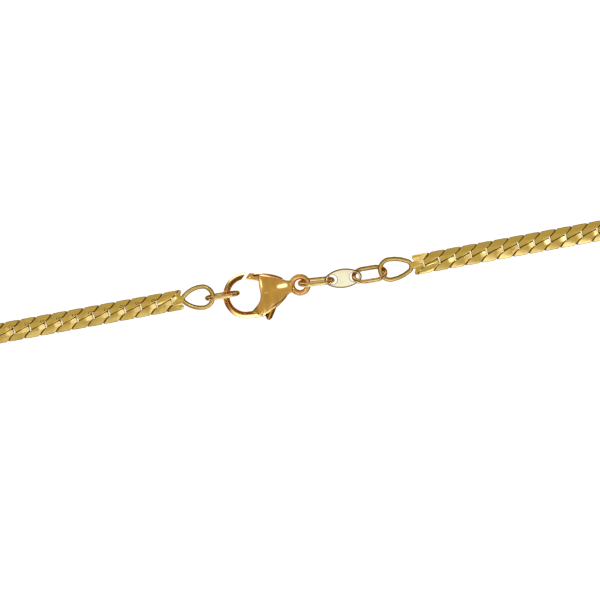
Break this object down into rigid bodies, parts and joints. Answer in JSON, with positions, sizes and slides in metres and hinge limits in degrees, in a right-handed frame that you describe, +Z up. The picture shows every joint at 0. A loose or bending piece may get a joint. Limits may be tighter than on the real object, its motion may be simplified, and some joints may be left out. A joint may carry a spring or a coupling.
{
  "type": "gold flat curb chain necklace with lobster clasp, shown without diamonds",
  "caption": "Flat faceted curb chain necklace laid out in a closed loop, joined by a sprung lobster clasp, split links, solid rings and a plain oval tag.",
  "frame": {"origin": "middle of the bounding box, on the plane that the necklace rests on", "axes": "+X along the straight stretch of chain that holds the clasp, from the clasp's hook towards its eyelet and the tag; +Y from the bottom of the loop to the clasp; +Z up from the surface"},
  "size_m": [0.1704, 0.114, 0.0033],
  "materials": {
    "chain_gold": "polished yellow gold, faceted",
    "ring_gold": "polished yellow gold wire",
    "clasp_gold": "polished yellow gold",
    "tag_gold": "flat polished yellow gold, bare"
  },
  "bodies": {
    "necklace": {"chain_left": "chain_gold", "chain_right": "chain_gold", "end_ring_left": "chain_gold", "jump_ring": "ring_gold", "clasp_body": "clasp_gold", "oval_link_near": "ring_gold", "tag_plate": "tag_gold", "oval_link_far": "ring_gold", "end_ring_right": "chain_gold"},
    "lever": {"clasp_lever": "clasp_gold"}
  },
  "joints": [
    {"name": "clasp_lever", "type": "hinge", "parent": "necklace", "child": "lever", "pos_m": [-0.00334, 0.05385, 0.0014], "axis": [0, 0, 1], "range_deg": [0, 25], "stiffness_Nm_per_rad": 0.0005}
  ]
}
